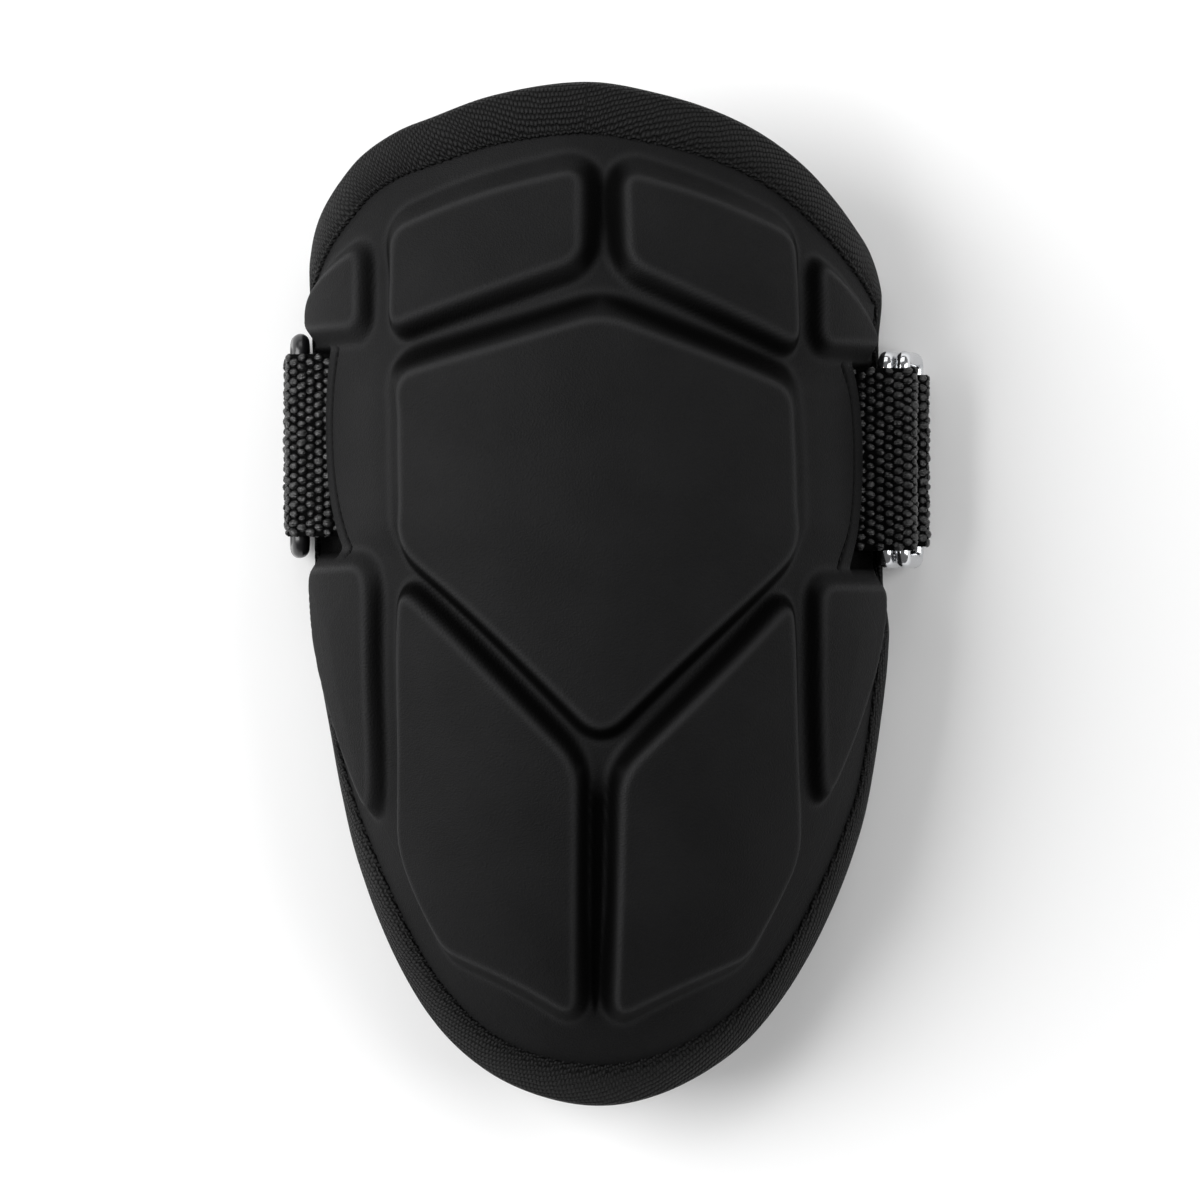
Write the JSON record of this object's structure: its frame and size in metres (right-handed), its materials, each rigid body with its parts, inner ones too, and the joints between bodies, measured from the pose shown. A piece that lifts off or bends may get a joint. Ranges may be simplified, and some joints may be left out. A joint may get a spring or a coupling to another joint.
{
  "type": "baseball elbow guard",
  "caption": "Moulded foam elbow guard with raised panels, woven edge tape, webbing tabs, metal rings and an arm strap.",
  "frame": {"origin": "under the middle of the whole guard, on the surface that it lies on", "axes": "+X across the arm to the side with two rings, +Y along the arm to the wide end, +Z out of the front"},
  "size_m": [0.1344, 0.2064, 0.0653],
  "materials": {
    "cover": "matt fine-grained cloth laminate",
    "edge_tape": "twill-woven tape",
    "webbing": "coarse ribbed webbing",
    "strap": "woven elastic",
    "black_ring": "gloss black",
    "steel_ring": "bright plated wire"
  },
  "bodies": {
    "root": {"moulded_pad": "cover", "edge_binding": "edge_tape", "left_tab": "webbing", "right_tab": "webbing", "left_ring": "black_ring", "right_ring_outer": "steel_ring", "right_ring_inner": "steel_ring", "strap": "strap"}
  },
  "joints": []
}
